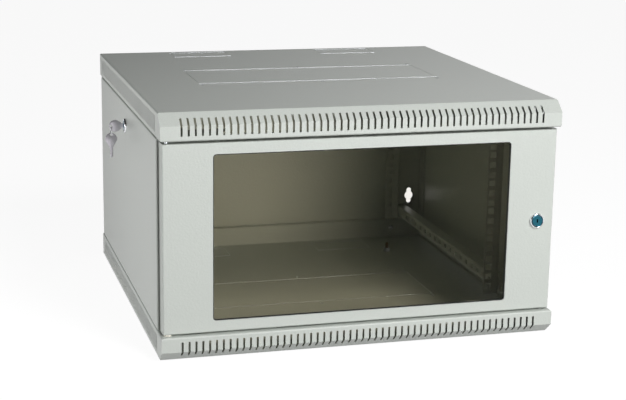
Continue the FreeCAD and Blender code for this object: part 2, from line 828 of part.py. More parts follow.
def make_hinge_bracket(top):
    """Angle welded to the inside of the door, with the eye for the pin."""
    left = -door_half_width + door_sheet
    z = hinge_plate_z(top)
    right = left + hinge_plate_width
    back = hinge_y + hinge_plate_width / 2
    shelf = extrude([(left, door_inner), (right, door_inner), (right, back), (left, back)],
                    [-door_bend, 0, 0, 0], "xy", z - hinge_plate / 2, z + hinge_plate / 2)
    foot_side = -1 if top else 1
    foot = box(right - hinge_plate, right, door_inner, back, z, z + foot_side * hinge_plate_width / 2)
    eye = rod(V(hinge_x, hinge_y, z - hinge_plate), V(0, 0, 1), hinge_pin_radius + hinge_clear,
              2 * hinge_plate)
    lever_way = box(hinge_x, right + 1, hinge_y - pin_lever_radius - body_gap,
                    hinge_y + pin_lever_radius + body_gap, z - hinge_plate_width, z - hinge_plate / 2)
    return cut(fuse([shelf, foot]), [eye, lever_way] if top else [eye])


def collar_low():
    return door_high - door_sheet - pin_collar_drop - pin_collar_height


def make_top_hinge_pin():
    """Spring pin: the lever at its foot draws it down out of the cover."""
    foot = hinge_plate_z(True) - hinge_plate / 2 - pin_tail
    tip = roof_low + hinge_reach
    shank = rod(V(hinge_x, hinge_y, foot), V(0, 0, 1), hinge_pin_radius, tip - foot)
    collar = rod(V(hinge_x, hinge_y, collar_low()), V(0, 0, 1), pin_collar_radius, pin_collar_height)
    lever = prism(V(hinge_x, hinge_y, foot + pin_lever_radius), V(1, 0, 0), pin_lever_radius,
                  pin_lever_length)
    return fuse([shank, collar, lever])


def make_pin_spring():
    """The coil spring round the top pin, as the sleeve that it fills."""
    low = hinge_plate_z(True) + hinge_plate / 2 + spring_end_clear
    tall = collar_low() - spring_end_clear - low
    inner = hinge_pin_radius + hinge_clear + spring_end_clear
    sides = 2 * small_sides
    tube = prism(V(hinge_x, hinge_y, low), V(0, 0, 1), inner + spring_wall, tall, sides)
    return cut(tube, [prism(V(hinge_x, hinge_y, low), V(0, 0, 1), inner, tall, sides)])


def make_bottom_hinge_pin():
    low = floor_top - cover_sheet - hinge_reach + 1
    high = hinge_plate_z(False) + hinge_plate
    return rod(V(hinge_x, hinge_y, low), V(0, 0, 1), hinge_pin_radius, high - low)


def make_hinge_washer():
    low = floor_top + body_gap
    sides = 2 * small_sides
    disc = prism(V(hinge_x, hinge_y, low), V(0, 0, 1), hinge_washer_radius, door_low - low, sides)
    return cut(disc, [prism(V(hinge_x, hinge_y, low), V(0, 0, 1), hinge_pin_radius + hinge_clear,
                            door_low - low, sides)])


# ---- cam locks ------------------------------------------------------------------------------------------------------------------------------------------------
# A lock is drawn on its own axis: Z out of the sheet's outer face, the open cam along X.

def frame_placement(origin, along_x, along_z):
    along_y = along_z.cross(along_x)
    matrix = FreeCAD.Matrix(along_x.x, along_y.x, along_z.x, origin.x,
                            along_x.y, along_y.y, along_z.y, origin.y,
                            along_x.z, along_y.z, along_z.z, origin.z, 0, 0, 0, 1)
    return FreeCAD.Placement(matrix)


def door_lock_placement():
    return frame_placement(V(lock_x, door_front, door_middle), V(-1, 0, 0), V(0, -1, 0))


def side_lock_placement(side):
    """The same lock on both panels, so the open cams point to opposite ends."""
    return frame_placement(V(side * half_width, panel_middle, side_lock_z), V(0, -side, 0), V(side, 0, 0))


def placed(shape, placement):
    moved = shape.copy()
    moved.Placement = placement.multiply(moved.Placement)
    return moved


def double_flat(radius, flat, z0, z1):
    barrel = rod(V(0, 0, z0), V(0, 0, 1), radius, z1 - z0)
    return barrel.common(box(-2 * radius, 2 * radius, -flat, flat, z0, z1))


def lock_hole_tool(sheet):
    return double_flat(lock_barrel_radius + lock_hole_clear, lock_barrel_flat + lock_hole_clear,
                       -sheet - 1, 1)


def make_lock_body(barrel):
    collar = rod(V(0, 0, 0), V(0, 0, 1), lock_collar_radius, lock_collar_height)
    rim = [edge for edge in collar.Edges if abs(edge.BoundBox.ZMin - lock_collar_height) < 0.01]
    collar = collar.makeChamfer(lock_collar_chamfer, rim)
    shank = double_flat(lock_barrel_radius, lock_barrel_flat, -barrel, 0)
    bore = rod(V(0, 0, -barrel - 1), V(0, 0, 1), plug_radius + plug_clear,
               barrel + lock_collar_height + 2)
    return cut(fuse([collar, shank]), [bore])


def make_lock_nut(sheet):
    return hex_nut(V(0, 0, -sheet - lock_nut_height), (0, 0, 1), lock_nut_flat, lock_nut_height,
                   lock_barrel_radius + thread_clear, 2 * small_sides)


def key_slot_tool():
    half_thick = key_sheet / 2 + key_slot_clear
    half_wide = key_blade_width / 2 + key_slot_clear
    tip = key_bow_distance - key_length - key_slot_clear
    return box(-half_thick, half_thick, -half_wide, half_wide, tip, lock_collar_height + 1)


def make_lock_plug(barrel):
    low = -barrel - body_gap
    shaft = rod(V(0, 0, low), V(0, 0, 1), plug_radius, lock_collar_height + plug_proud - low)
    half = plug_square / 2
    square = box(-half, half, -half, half, low - cam_sheet, low)
    hole = prism(V(0, 0, low - cam_sheet), V(0, 0, 1), cam_screw_radius + thread_clear,
                 cam_screw_depth + thread_clear)
    return cut(fuse([shaft, square]), [key_slot_tool(), hole])


def make_lock_cam(barrel, length):
    high = -barrel - body_gap
    half = cam_width / 2
    outline = [(-half, -half), (length, -half), (length, half), (-half, half)]
    plate = extrude(outline, [-half * 0.6, -half * 0.4, -half * 0.4, -half * 0.6], "xy",
                    high - cam_sheet, high)
    square = plug_square / 2 + thread_clear
    return cut(plate, [box(-square, square, -square, square, high - 2 * cam_sheet, high + 1)])


def make_cam_screw(barrel):
    """Its head is wide enough to hold the cam on the square of the plug."""
    return cap_screw(V(0, 0, -barrel - body_gap - cam_sheet), (0, 0, 1), cam_screw_radius,
                     cam_screw_head, cam_screw_head_height, cam_screw_depth)


# ---- keys ----------------------------------------------------------------------------------------------------------------------------------------------------------
# A key lies in the YZ plane of its lock: the blade points down its Z, the bow is at the top.

def make_key():
    half = key_sheet / 2
    bow = prism(V(-half, 0, 0), V(1, 0, 0), key_bow_radius, key_sheet, 3 * small_sides)
    blade_half = key_blade_width / 2
    shoulder_half = key_shoulder_width / 2
    right_side = [(key_bow_radius * 0.8, -key_bow_radius * 0.55), (shoulder_half, -key_shoulder),
                  (shoulder_half, -key_neck), (blade_half, -key_neck),
                  (blade_half, -key_length + blade_half), (blade_half * 0.3, -key_length)]
    outline = right_side + [(-y, z) for y, z in right_side[::-1]]
    blade = extrude(outline, [0] * len(outline), "yz", -half, half)
    hole = prism(V(-half - 1, 0, key_hole_out), V(1, 0, 0), key_hole_radius, key_sheet + 2,
                 2 * small_sides)
    return cut(fuse([bow, blade]), [hole])


def lock_key_place():
    return side_lock_placement(-1).multiply(FreeCAD.Placement(V(0, 0, key_bow_distance), FreeCAD.Rotation()))


def ring_hook():
    """Middle of the ring's wire where it hangs in the hole of the key in the lock."""
    hole = lock_key_place().multVec(V(0, 0, key_hole_out))
    return hole - V(0, 0, key_hole_radius - ring_wire - body_gap)


def make_key_ring():
    """Ring of straight lengths, swept round in the plane across X."""
    centre = ring_hook() - V(0, 0, ring_radius)
    count = 3 * small_sides
    sections = []
    for index in range(count + 1):
        angle = 2 * math.pi * index / count
        outward = V(0, math.cos(angle), math.sin(angle))
        middle = centre + outward * ring_radius
        corners = []
        for step in range(7):
            turn = math.pi * (step + 0.5) / 3
            corners.append(middle + outward * (ring_wire * math.cos(turn))
                           + V(ring_wire * math.sin(turn), 0, 0))
        sections.append(Part.makePolygon(corners))
    lengths = [Part.makeLoft([sections[index], sections[index + 1]], True, True)
               for index in range(count)]
    return lengths[0].multiFuse(lengths[1:])


def spare_hook():
    return ring_hook() - V(0, 0, 2 * ring_radius)


def make_spare_key():
    """The spare hangs on the ring by its hole, blade down, with its flat to the front."""
    key = make_key()
    key.translate(V(0, 0, -key_hole_out))
    key.rotate(V(0, 0, 0), V(0, 0, 1), 90)
    key.translate(spare_hook() - V(0, 0, key_hole_radius - ring_wire - body_gap))
    return key


# ---- side panels ------------------------------------------------------------------------------------------------------------------------------------------------------

def panel_block(inset, bend):
    """The panel's outline drawn in by an inset: a section along it crossed with one up it."""
    inner = half_width - panel_return - inset
    outer = half_width - inset
    near = panel_front + inset
    far = panel_rear + inset
    low = panel_low + inset
    high = panel_high - inset
    along = extrude([(inner, near), (outer, near), (outer, far), (inner, far)], [0, bend, 0, 0],
                    "xy", low, high)
    upright = extrude([(inner, low), (outer, low), (outer, high), (inner, high)], [0, bend, bend, 0],
                      "xz", near, far)
    return along.common(upright)


def make_right_side_panel():
    """Tray with its edge turned in at the front, top and bottom, and two tabs below."""
    inner_edge = half_width - panel_return
    inside = half_width - panel_sheet
    front_end = post_front + post_side + panel_edge_clear
    rear_end = wall - rear_side_return - panel_edge_clear
    tools = [panel_block(panel_sheet, panel_sheet - panel_bend),
             placed(lock_hole_tool(panel_sheet), side_lock_placement(1))]
    for y0, y1 in ((panel_front + panel_sheet, front_end), (rear_end, panel_rear + 1)):
        for z0, z1 in ((panel_low - 1, panel_low + panel_bend), (panel_high - panel_bend, panel_high + 1)):
            tools.append(box(inner_edge - 1, inside, y0, y1, z0, z1))
    panel = cut(panel_block(0, panel_bend), tools)
    tabs = [box(inner_edge, inner_edge + panel_sheet, y - tab_length / 2, y + tab_length / 2,
                panel_low - tab_depth, panel_low + panel_sheet) for y in tab_places()]
    return fuse([panel] + tabs)


# ---- build --------------------------------------------------------------------------------------------------------------------------------------------------------------

def both_sides(name, right):
    return {"right_" + name: right, "left_" + name: mirror_x(right)}


def make_parts():
    parts = {
        "bottom_cover": make_cover(floor_blank_middle, True),
        "top_cover": mirror_z(make_cover(roof_blank_middle, False)),
        "rear_panel": make_rear_panel(),
        "rear_panel_screws": make_rear_screws(),
        "post_screws": make_post_screws(),
        "rack_rail_bolts": make_rail_bolts(),
        "rack_rail_nuts": make_rail_nuts(),
        "depth_rail_screws": make_depth_rail_screws(),
        "depth_rail_nuts": make_depth_rail_nuts(),
        "earth_stud": make_earth_stud(),
        "earth_washer": make_earth_washer(),
        "earth_nut": make_earth_nut(),
        "door_frame": make_door_frame(),
        "glass_seal": make_glass_seal(),
        "door_glass": make_door_glass(),
        "retainer_nuts": make_retainer_nuts(),
        "top_hinge_bracket": make_hinge_bracket(True),
        "bottom_hinge_bracket": make_hinge_bracket(False),
        "top_hinge_pin": make_top_hinge_pin(),
        "top_pin_spring": make_pin_spring(),
        "bottom_hinge_pin": make_bottom_hinge_pin(),
        "hinge_washer": make_hinge_washer(),
        "key_ring": make_key_ring(),
        "spare_key": make_spare_key(),
    }
    parts.update(both_sides("front_post", make_right_post()))
    parts.update(both_sides("front_rack_rail", make_right_rack_rail(front_rail_y)))
    parts.update(both_sides("rear_rack_rail", make_right_rack_rail(rear_rail_y)))
    lower = make_lower_right_depth_rail()
    parts.update(both_sides("lower_depth_rail", lower))
    parts.update(both_sides("upper_depth_rail", mirror_z(lower)))
    parts.update(both_sides("glass_retainer", make_right_retainer()))
    parts.update(both_sides("side_panel", make_right_side_panel()))

    door_lock = {
        "door_lock_body": make_lock_body(door_barrel),
        "door_lock_nut": make_lock_nut(door_sheet),
        "door_lock_plug": make_lock_plug(door_barrel),
        "door_lock_cam": make_lock_cam(door_barrel, door_cam_length),
        "door_cam_screw": make_cam_screw(door_barrel),
    }
    for name, shape in door_lock.items():
        parts[name] = placed(shape, door_lock_placement())
    side_lock = {
        "lock_body": make_lock_body(side_barrel),
        "lock_nut": make_lock_nut(panel_sheet),
        "lock_plug": make_lock_plug(side_barrel),
        "lock_cam": make_lock_cam(side_barrel, side_cam_length),
        "cam_screw": make_cam_screw(side_barrel),
    }
    for name, shape in side_lock.items():
        parts["left_" + name] = placed(shape, side_lock_placement(-1))
        parts["right_" + name] = placed(shape, side_lock_placement(1))
    parts["lock_key"] = placed(make_key(), lock_key_place())
    return parts


os.makedirs("parts", exist_ok=True)
for node, shape in make_parts().items():
    if not shape.isValid():
        print("not valid:", node)
    shape.exportStep("parts/" + node + ".step")
    bounds = shape.BoundBox
    print("%-22s %2d  x %7.1f %7.1f  y %7.1f %7.1f  z %7.1f %7.1f" % (
        node, len(shape.Solids), bounds.XMin, bounds.XMax, bounds.YMin, bounds.YMax,
        bounds.ZMin, bounds.ZMax))
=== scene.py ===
import math

import bmesh
import bpy
from mathutils import Matrix, Vector


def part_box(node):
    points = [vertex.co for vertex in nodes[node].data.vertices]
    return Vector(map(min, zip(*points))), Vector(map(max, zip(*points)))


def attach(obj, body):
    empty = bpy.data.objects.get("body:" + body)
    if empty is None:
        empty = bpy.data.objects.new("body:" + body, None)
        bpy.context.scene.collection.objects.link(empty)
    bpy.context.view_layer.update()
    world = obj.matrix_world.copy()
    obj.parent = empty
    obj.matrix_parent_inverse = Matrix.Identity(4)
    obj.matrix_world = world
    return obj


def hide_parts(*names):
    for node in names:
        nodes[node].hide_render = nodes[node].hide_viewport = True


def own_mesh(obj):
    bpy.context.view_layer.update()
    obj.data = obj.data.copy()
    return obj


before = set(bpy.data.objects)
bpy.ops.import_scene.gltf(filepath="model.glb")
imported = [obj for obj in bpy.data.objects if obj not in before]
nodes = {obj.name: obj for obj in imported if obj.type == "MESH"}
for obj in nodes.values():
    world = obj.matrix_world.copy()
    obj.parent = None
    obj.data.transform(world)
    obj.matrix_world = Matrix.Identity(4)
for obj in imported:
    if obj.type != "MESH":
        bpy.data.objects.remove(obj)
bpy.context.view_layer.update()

mm = 0.001
mergeDistance = 0.0005 * mm   # for what is made here
cadMerge = 0.001 * mm         # for copies of the loose triangles of a CAD node
print("frame loaded:", len(nodes), "nodes")


# colours and materials

def linear(hexColour):
    values = [int(hexColour[place:place + 2], 16) / 255 for place in (1, 3, 5)]
    return [v / 12.92 if v <= 0.04045 else ((v + 0.055) / 1.055) ** 2.4 for v in values] + [1.0]


def addNode(tree, kind, settings, inputs):
    node = tree.nodes.new(kind)
    for name, value in settings.items():
        setattr(node, name, value)
    for name, value in inputs.items():
        if isinstance(value, bpy.types.NodeSocket):
            tree.links.new(value, node.inputs[name])
        else:
            node.inputs[name].default_value = value
    return node


def startMaterial(name, settings):
    material = bpy.data.materials.new(name)
    material.use_nodes = True
    tree = material.node_tree
    shader = tree.nodes["Principled BSDF"]
    for socket, value in settings.items():
        shader.inputs[socket].default_value = value
    return material, tree, shader


def addGrain(tree, grain, detail=2.0):
    place = addNode(tree, "ShaderNodeTexCoord", {}, {})
    return addNode(tree, "ShaderNodeTexNoise", {}, {
        "Vector": place.outputs["Object"], "Scale": 1 / grain, "Detail": detail})


# a noise stays mostly between these two values
noiseLow = 0.3
noiseHigh = 0.7


def colourBetween(tree, factor, low, high):
    ramp = addNode(tree, "ShaderNodeValToRGB", {}, {"Fac": factor})
    for element, place, colour in zip(ramp.color_ramp.elements, (noiseLow, noiseHigh), (low, high)):
        element.position = place
        element.color = linear(colour)
    return ramp.outputs["Color"]


def addBump(tree, shader, height, depth, strength=1.0):
    bump = addNode(tree, "ShaderNodeBump", {}, {
        "Height": height, "Strength": strength, "Distance": depth})
    tree.links.new(bump.outputs["Normal"], shader.inputs["Normal"])


def makeGrained(name, finish):
    # the colour wanders between two tones, and the same grain raises a faint bump
    material, tree, shader = startMaterial(name, finish["shader"])
    grain = addGrain(tree, finish["grain"], finish["detail"])
    tone = colourBetween(tree, grain.outputs["Fac"], finish["deep"], finish["pale"])
    tree.links.new(tone, shader.inputs["Base Color"])
    addBump(tree, shader, grain.outputs["Fac"], finish["bump"])
    return material


# polyester powder coat sprayed on steel and baked: even light grey, fine orange peel, soft sheen
# the peel is about 1 mm wide and 0.01 mm high, which is too fine to show, so it is drawn coarser
powderCoat = {"pale": "#d5dad4", "deep": "#ced3cd", "grain": 1.2 * mm, "peel": 3.0 * mm,
              "peelDepth": 0.25 * mm, "detail": 1.0, "shader": {"Roughness": 0.37, "IOR": 1.44}}


def makePowderCoat():
    material, tree, shader = startMaterial("powder coat, baked light grey", powderCoat["shader"])
    speckle = addGrain(tree, powderCoat["grain"], powderCoat["detail"])
    tone = colourBetween(tree, speckle.outputs["Fac"], powderCoat["deep"], powderCoat["pale"])
    tree.links.new(tone, shader.inputs["Base Color"])
    peel = addGrain(tree, powderCoat["peel"], powderCoat["detail"])
    addBump(tree, shader, peel.outputs["Fac"], powderCoat["peelDepth"])
    return material


# bright zinc plating on turned and stamped steel: cool silver, clouds a few millimetres wide
zinc = {"pale": "#d4d6d8", "deep": "#a9adb2", "grain": 3.0 * mm, "detail": 3.0, "bump": 0.02 * mm,
        "shader": {"Metallic": 1.0, "Roughness": 0.3}}

# die-cast plug with a blue-green passivation, blasted to a satin
# the blasted grain is about 0.1 mm, drawn coarser to show
plugMetal = {"pale": "#2a6c7d", "deep": "#1e5464", "grain": 0.8 * mm, "detail": 2.0,
             "bump": 0.01 * mm, "shader": {"Metallic": 0.85, "Roughness": 0.22}}

# nickel silver key blank, tumbled: pale grey; its scuffs of 0.1 mm are drawn coarser to show
keyMetal = {"pale": "#d0cdd3", "deep": "#bab7be", "grain": 0.7 * mm, "detail": 4.0,
            "bump": 0.01 * mm, "shader": {"Metallic": 1.0, "Roughness": 0.34}}

# copper plating on a weld stud: tarnished brown in patches of about 2 mm
copper = {"pale": "#9c8a70", "deep": "#6a5b47", "grain": 2.0 * mm, "detail": 3.0,
          "bump": 0.01 * mm, "shader": {"Metallic": 0.8, "Roughness": 0.4}}

# extruded EPDM gasket: matt black; its skin of 0.2 mm grain is drawn coarser to show
rubber = {"pale": "#232322", "deep": "#151514", "grain": 0.9 * mm, "detail": 2.0,
          "bump": 0.03 * mm, "shader": {"Roughness": 0.75}}

# natural nylon, turned: milky and slightly waxy; turning marks of 0.2 mm drawn coarser to show
nylon = {"pale": "#ece9df", "deep": "#dedacd", "grain": 1.0 * mm, "detail": 1.0,
         "bump": 0.01 * mm, "shader": {"Roughness": 0.5, "IOR": 1.53}}

# chromed zinc die casting, polished: near-mirror with waves a few millimetres apart
chrome = {"colour": "#e6e7ea", "roughness": 0.09, "wave": 4.0 * mm, "detail": 1.0,
          "bump": 0.02 * mm}


def makeChrome():
    material, tree, shader = startMaterial("zinc die casting, chromed", {
        "Base Color": linear(chrome["colour"]), "Metallic": 1.0,
        "Roughness": chrome["roughness"]})
    wave = addGrain(tree, chrome["wave"], chrome["detail"])
    addBump(tree, shader, wave.outputs["Fac"], chrome["bump"])
    return material


# toughened float glass with a bronze-grey body tint: clear view, warm darkening, roller waves
glass = {"tint": "#f7f4ee", "throughOneFace": "#e5e0d3", "ior": 1.5, "mirror": "#303030",
         "waves": 60 * mm, "waveHeight": 0.01 * mm, "waveStrength": 0.3}


def makeGlass():
    material, tree, shader = startMaterial("float glass, smoked and toughened", {
        "Base Color": linear(glass["tint"]), "Roughness": 0.0, "IOR": glass["ior"],
        "Transmission Weight": 1.0, "Specular Tint": linear(glass["mirror"])})
    waves = addGrain(tree, glass["waves"], 0.0)
    addBump(tree, shader, waves.outputs["Fac"], glass["waveHeight"], glass["waveStrength"])
    # light from the lamps and the room passes both faces of the pane and lights the inside
    path = addNode(tree, "ShaderNodeLightPath", {}, {})
    lighting = addNode(tree, "ShaderNodeMath", {"operation": "MAXIMUM"}, {
        0: path.outputs["Is Shadow Ray"], 1: path.outputs["Is Diffuse Ray"]})
    clear = addNode(tree, "ShaderNodeBsdfTransparent", {}, {
        "Color": linear(glass["throughOneFace"])})
    mix = addNode(tree, "ShaderNodeMixShader", {}, {
        0: lighting.outputs[0], 1: shader.outputs[0], 2: clear.outputs[0]})
    tree.links.new(mix.outputs[0], tree.nodes["Material Output"].inputs["Surface"])
    return material


paint = makePowderCoat()
zincPlate = makeGrained("zinc plating, bright passivated", zinc)
chromePlate = makeChrome()
plugFinish = makeGrained("zinc die casting, blue passivated", plugMetal)
keyFinish = makeGrained("nickel silver, tumbled", keyMetal)
copperPlate = makeGrained("copper plating on a weld stud", copper)
rubberSkin = makeGrained("EPDM rubber, extruded black", rubber)
nylonBody = makeGrained("nylon, turned natural", nylon)
smokedGlass = makeGlass()
print("materials made")

finishes = {
    paint: ["bottom_cover", "top_cover", "rear_panel", "door_frame", "top_hinge_bracket",
            "bottom_hinge_bracket", "left_front_post", "right_front_post", "left_side_panel",
            "right_side_panel", "left_front_rack_rail", "right_front_rack_rail",
            "left_rear_rack_rail", "right_rear_rack_rail", "left_lower_depth_rail",
            "right_lower_depth_rail", "left_upper_depth_rail", "right_upper_depth_rail",
            "left_glass_retainer", "right_glass_retainer"],
    zincPlate: ["rear_panel_screws", "post_screws", "rack_rail_bolts", "rack_rail_nuts",
                "depth_rail_screws", "depth_rail_nuts", "earth_washer", "earth_nut",
                "retainer_nuts", "top_hinge_pin", "bottom_hinge_pin", "top_pin_spring",
                "door_lock_cam", "left_lock_cam", "right_lock_cam", "door_cam_screw",
                "left_cam_screw", "right_cam_screw", "door_lock_nut", "left_lock_nut",
                "right_lock_nut"],
    chromePlate: ["door_lock_body", "left_lock_body", "right_lock_body", "key_ring"],
    plugFinish: ["door_lock_plug", "left_lock_plug", "right_lock_plug"],
    keyFinish: ["lock_key", "spare_key"],
    copperPlate: ["earth_stud"],
    rubberSkin: ["glass_seal"],
    nylonBody: ["hinge_washer"],
    smokedGlass: ["door_glass"],
}
for material, names in finishes.items():
    for name in names:
        slots = nodes[name].material_slots
        if not slots:
            nodes[name].data.materials.append(material)
        for slot in slots:
            slot.material = material


# shapes

creaseAngle = math.radians(35)


def solidBoxes(name):
    # low and high corner of each separate solid in a node, always in the same order
    bm = bmesh.new()
    bm.from_mesh(nodes[name].data)
    bmesh.ops.remove_doubles(bm, verts=bm.verts, dist=cadMerge)
    left = set(bm.verts)
    found = []
    while left:
        edge = [left.pop()]
        corners = []
        while edge:
            vert = edge.pop()
            corners.append(vert.co.copy())
            for link in vert.link_edges:
                other = link.other_vert(vert)
                if other in left:
                    left.remove(other)
                    edge.append(other)
        low = Vector([min(c[axis] for c in corners) for axis in range(3)])
        high = Vector([max(c[axis] for c in corners) for axis in range(3)])
        found.append((low, high))
    bm.free()
    return sorted(found, key=lambda pair: tuple(pair[0]))


def finishPiece(name, bm, material, body, replaced, smooth=True):
    mesh = bpy.data.meshes.new(name)
    bmesh.ops.recalc_face_normals(bm, faces=bm.faces)
    bm.to_mesh(mesh)
    bm.free()
    piece = bpy.data.objects.new(name, mesh)
    bpy.context.scene.collection.objects.link(piece)
    mesh.materials.append(material)
    if smooth:
        mesh.shade_smooth()
        mesh.set_sharp_from_angle(angle=creaseAngle)
    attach(piece, body)
    if replaced:
        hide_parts(*replaced)
    return piece


def lathe(bm, profile, steps):
    # the profile is a row of radius and height, spun round Z
    verts = [bm.verts.new((radius, 0, height)) for radius, height in profile]
    edges = [bm.edges.new(pair) for pair in zip(verts[:-1], verts[1:])]
    bmesh.ops.spin(bm, geom=verts + edges, cent=(0, 0, 0), axis=(0, 0, 1),
                   angle=2 * math.pi, steps=steps, use_merge=True)
    bmesh.ops.remove_doubles(bm, verts=bm.verts, dist=mergeDistance)


def copyInto(target, source, place):
    mesh = bpy.data.meshes.new("copy")
    moved = source.copy()
    bmesh.ops.transform(moved, matrix=place, verts=moved.verts)
    moved.to_mesh(mesh)
    moved.free()
    target.from_mesh(mesh)
    bpy.data.meshes.remove(mesh)


def turned(origin, along):
    # sets a shape that stands on Z at a place, along another direction
    turn = Vector((0, 0, 1)).rotation_difference(Vector(along)).to_matrix().to_4x4()
    return Matrix.Translation(origin) @ turn


def seatOf(pair, along, headHeight):
    # where the head rests, and how far the shank goes on from there
    low, high = pair
    middle = (low + high) / 2
    axis = max(range(3), key=lambda a: abs(along[a]))
    start = low[axis] + headHeight if along[axis] > 0 else high[axis] - headHeight
    middle[axis] = start
    return middle, high[axis] - low[axis] - headHeight


# a domed head from its round recess outwards, as shares of its radius and height
domeShape = [(0, 0.45), (0.204, 0.5), (0.34, 1.0), (0.55, 0.97), (0.82, 0.72), (0.97, 0.3),
             (1.0, 0)]
# radius at the root of a thread and at the point of a screw, as shares of the shank's
thread = {"screwRoot": 0.86, "studRoot": 0.87, "point": 0.8}
screwSteps = 20


def domedScrew(size, length):
    bm = bmesh.new()
    dome = [(size["headRadius"] * out, -size["headHeight"] * up) for out, up in domeShape]
    pitch = size["pitch"]
    radius = size["shankRadius"]
    shank = [(radius, 0)]
    for turn in range(int((length - pitch) / pitch)):
        shank += [(radius, pitch * (turn + 0.5)),
                  (radius * thread["screwRoot"], pitch * (turn + 1))]
    shank += [(radius * thread["point"], length), (0, length)]
    lathe(bm, dome + shank, screwSteps)
    return bm


def addFasteners(name, node, along, size, body):
    whole = bmesh.new()
    for pair in solidBoxes(node):
        middle = (pair[0] + pair[1]) / 2
        direction = Vector(along)
        if size.get("bothSides") and middle.x < 0:
            direction.x *= -1
        if size.get("bothEnds") and middle.z > size["bothEnds"]:
            direction.z *= -1
        seat, length = seatOf(pair, direction, size["headHeight"])
        one = domedScrew(size, length)
        copyInto(whole, one, turned(seat, direction))
        one.free()
    return finishPiece(name, whole, zincPlate, body, [node])


# M5 screws with a low domed head; those of the posts point down below this height and up above it
m5Screw = {"headRadius": 4.7 * mm, "headHeight": 3.2 * mm, "shankRadius": 2.5 * mm,
           "pitch": 0.8 * mm}
postScrew = dict(m5Screw, bothEnds=180 * mm)
# M6 bolts of the rack rails point outwards on both sides
m6Bolt = {"headRadius": 5.0 * mm, "headHeight": 3.6 * mm, "shankRadius": 3.0 * mm,
          "pitch": 1.0 * mm, "bothSides": True}
addFasteners("rearPanelScrews", "rear_panel_screws", (0, 1, 0), m5Screw, "cabinet")
addFasteners("depthRailScrews", "depth_rail_screws", (0, 1, 0), m5Screw, "cabinet")
addFasteners("postScrews", "post_screws", (0, 0, -1), postScrew, "cabinet")
addFasteners("rackRailBolts", "rack_rail_bolts", (1, 0, 0), m6Bolt, "cabinet")
print("fasteners made")

# coil spring that pushes the top hinge pin up
coil = {"wire": 0.45 * mm, "turns": 8, "stepsPerTurn": 24, "sides": 8}


def makeCoil():
    low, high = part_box("top_pin_spring")
    centre = (low + high) / 2
    radius = (high.x - low.x) / 2 - coil["wire"]
    rise = high.z - low.z - 2 * coil["wire"]
    bm = bmesh.new()
    place = Matrix.Translation((centre.x + radius, centre.y, low.z + coil["wire"]))
    bmesh.ops.create_circle(bm, segments=coil["sides"], radius=coil["wire"], cap_ends=True,
                            matrix=place @ Matrix.Rotation(math.pi / 2, 4, "X"))
    steps = coil["turns"] * coil["stepsPerTurn"]
    bmesh.ops.spin(bm, geom=bm.verts[:] + bm.edges[:] + bm.faces[:], cent=(centre.x, centre.y, 0),
                   axis=(0, 0, 1), dvec=(0, 0, rise / steps), angle=2 * math.pi * coil["turns"],
                   steps=steps)
    bmesh.ops.remove_doubles(bm, verts=bm.verts, dist=mergeDistance)
    piece = finishPiece("pinSpring", bm, zincPlate, "door", ["top_pin_spring"])
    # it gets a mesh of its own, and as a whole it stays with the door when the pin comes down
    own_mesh(piece)


makeCoil()

# key ring, drawn as one closed turn of wire
splitRing = {"steps": 40, "sides": 10}


def makeRing():
    low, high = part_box("key_ring")
    centre = (low + high) / 2
    wire = (high.x - low.x) / 2
    radius = (high.z - low.z) / 2 - wire
    bm = bmesh.new()
    bmesh.ops.create_circle(bm, segments=splitRing["sides"], radius=wire,
                            matrix=Matrix.Translation((centre.x, centre.y + radius, centre.z)))
    bmesh.ops.spin(bm, geom=bm.verts[:] + bm.edges[:], cent=centre, axis=(1, 0, 0),
                   angle=2 * math.pi, steps=splitRing["steps"], use_merge=True)
    bmesh.ops.remove_doubles(bm, verts=bm.verts, dist=mergeDistance)
    finishPiece("splitRing", bm, chromePlate, "ring", ["key_ring"])


makeRing()
print("spring and ring made")


# turned and cut hardware: nuts, locks, cam screws, pins, earth stud, keys

nutChamfer = 0.04   # share of the width across flats


def hexNut(acrossFlats, height, hole):
    # spun in six steps, so its radii are taken at the corners
    corner = acrossFlats / math.sqrt(3)
    edge = acrossFlats * nutChamfer
    inner = hole / math.cos(math.pi / 6)
    bm = bmesh.new()
    lathe(bm, [(inner, 0), (corner - 2 * edge, 0), (corner, edge), (corner, height - edge),
               (corner - 2 * edge, height), (inner, height), (inner, 0)], 6)
    bmesh.ops.rotate(bm, cent=(0, 0, 0), matrix=Matrix.Rotation(math.pi / 6, 3, "Z"),
                     verts=bm.verts)
    return bm


def addNuts(name, node, axis, nut, body):
    whole = bmesh.new()
    one = hexNut(nut["flat"], nut["height"], nut["hole"])
    for low, high in solidBoxes(node):
        foot = (low + high) / 2
        foot[axis] = low[axis]
        along = [0, 0, 0]
        along[axis] = 1
        copyInto(whole, one, turned(foot, along) @ Matrix.Rotation(nut["turn"], 4, "Z"))
    one.free()
    return finishPiece(name, whole, zincPlate, body, [node])


# M6 nuts on the rack rails, M5 on the depth rails, M4 on the studs of the glass retainers
rackNut = {"flat": 10 * mm, "height": 5 * mm, "hole": 3.0 * mm, "turn": 0.0}
railNut = {"flat": 8 * mm, "height": 4 * mm, "hole": 2.5 * mm, "turn": 0.0}
retainerNut = {"flat": 7 * mm, "height": 3.2 * mm, "hole": 2.0 * mm, "turn": math.pi / 6}
addNuts("rackRailNuts", "rack_rail_nuts", 0, rackNut, "cabinet")
addNuts("depthRailNuts", "depth_rail_nuts", 1, railNut, "cabinet")
addNuts("retainerNuts", "retainer_nuts", 1, retainerNut, "door")
print("nuts made")


def washer(bore, outer, edge, bottom, top, steps):
    bm = bmesh.new()
    lathe(bm, [(bore, bottom), (outer - edge, bottom), (outer, bottom + edge), (outer, top - edge),
               (outer - edge, top), (bore, top), (bore, bottom)], steps)
    return bm


